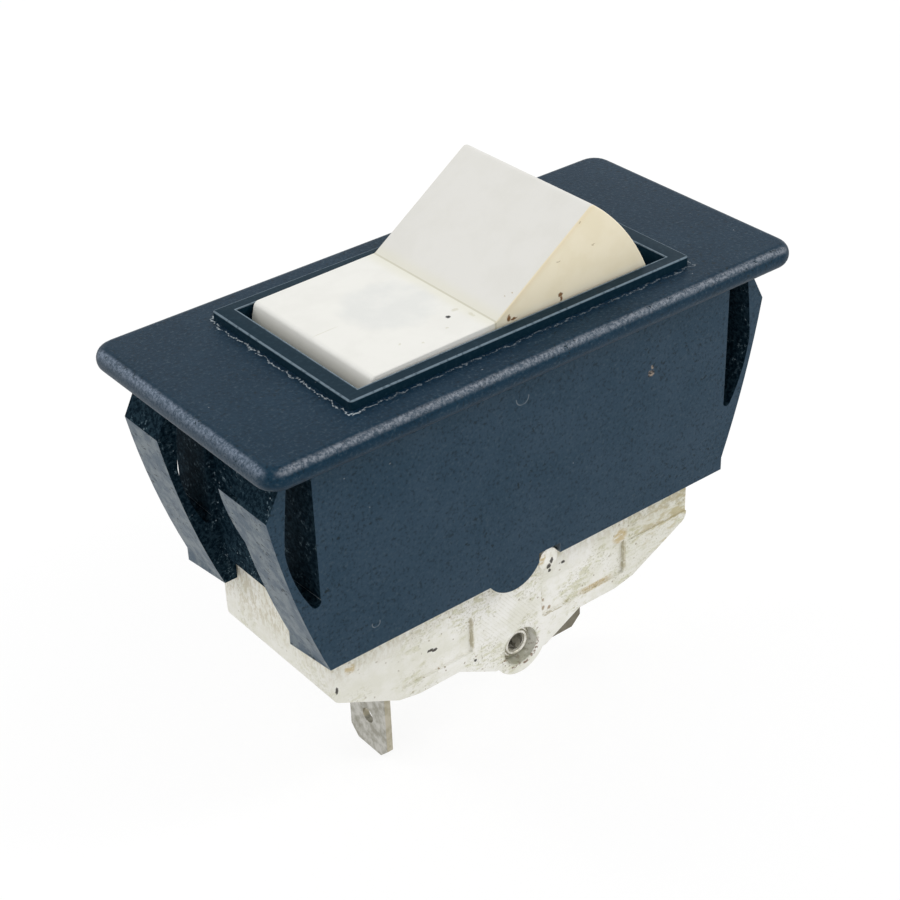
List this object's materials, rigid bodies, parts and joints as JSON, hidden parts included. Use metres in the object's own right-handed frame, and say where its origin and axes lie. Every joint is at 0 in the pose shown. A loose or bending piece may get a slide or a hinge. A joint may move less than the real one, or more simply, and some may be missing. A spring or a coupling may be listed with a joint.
{
  "type": "thermal circuit breaker",
  "caption": "Snap-in panel thermal circuit breaker: V-shaped rocker, riveted split housing, bimetal trip mechanism and quick-connect blade terminals.",
  "frame": {"origin": "middle of the panel cut-out, on the underside of the flange where it meets the panel", "axes": "+X along the long side of the flange, away from the pressed end of the rocker; +Y across the flange; +Z out of the panel, towards the user"},
  "size_m": [0.063, 0.0296, 0.0585],
  "materials": {
    "frame_black": "fine-grained blue-black moulding",
    "surround_black": "semi-gloss blue-black moulding",
    "rocker_white": "warm white satin moulding",
    "housing_ivory": "greenish ivory satin moulding with handling stains",
    "nickel_eyelet": "dull nickel",
    "tinned_blade": "dull tin plate, mottled",
    "silver_contact": "bright silver",
    "brass_arm": "satin",
    "brass_screw": "turned",
    "steel_pin": "ground",
    "rod_brown": "moulded phenolic",
    "spring_steel": "drawn wire and strip",
    "bimetal_metal": "rolled strip",
    "copper_braid": "woven copper",
    "barrier_grey": "pressed insulating board"
  },
  "bodies": {
    "breaker": {"bezel_frame": "frame_black", "rocker_surround": "surround_black", "rocker_pin": "steel_pin", "housing_front": "housing_ivory", "housing_rear": "housing_ivory", "centre_rivet": "nickel_eyelet", "upper_rivet_left": "nickel_eyelet", "upper_rivet_right": "nickel_eyelet", "line_terminal": "tinned_blade", "load_terminal": "tinned_blade", "fixed_contact": "silver_contact", "arm_pin": "steel_pin", "trip_pin": "steel_pin", "trip_spring": "spring_steel", "bimetal_strip": "bimetal_metal", "bimetal_rivet": "steel_pin", "calibration_screw": "brass_screw", "kick_spring": "spring_steel", "braid": "copper_braid", "arc_barrier": "barrier_grey"},
    "rocker": {"rocker": "rocker_white"},
    "push_rod": {"push_rod": "rod_brown"},
    "contact_arm": {"contact_arm": "brass_arm", "moving_contact": "silver_contact"},
    "trip_lever": {"trip_lever": "rod_brown"}
  },
  "joints": [
    {"name": "rocker_tilt", "type": "hinge", "parent": "breaker", "child": "rocker", "pos_m": [0, 0, -0.004], "axis": [0, 1, 0], "range_deg": [0, 35.5]},
    {"name": "push_rod_slide", "type": "slide", "parent": "breaker", "child": "push_rod", "axis": [0, 0, -1], "range_m": [0, 0.00257]},
    {"name": "contact_arm_swing", "type": "hinge", "parent": "breaker", "child": "contact_arm", "pos_m": [0.0186, 0, -0.02039], "axis": [0, 1, 0], "range_deg": [-10.35, 0], "deforming": ["kick_spring", "braid"]},
    {"name": "trip_lever_swing", "type": "hinge", "parent": "breaker", "child": "trip_lever", "pos_m": [0.0001, 0, -0.0247], "axis": [0, 1, 0], "range_deg": [0, 11.1], "deforming": ["trip_spring"]}
  ],
  "couplings": [
    {"joint": "push_rod_slide", "follows": "rocker_tilt", "m_per_rad": 0.0041331},
    {"joint": "contact_arm_swing", "follows": "rocker_tilt", "ratio": -0.2906},
    {"joint": "trip_lever_swing", "follows": "rocker_tilt", "ratio": 0.31127}
  ]
}
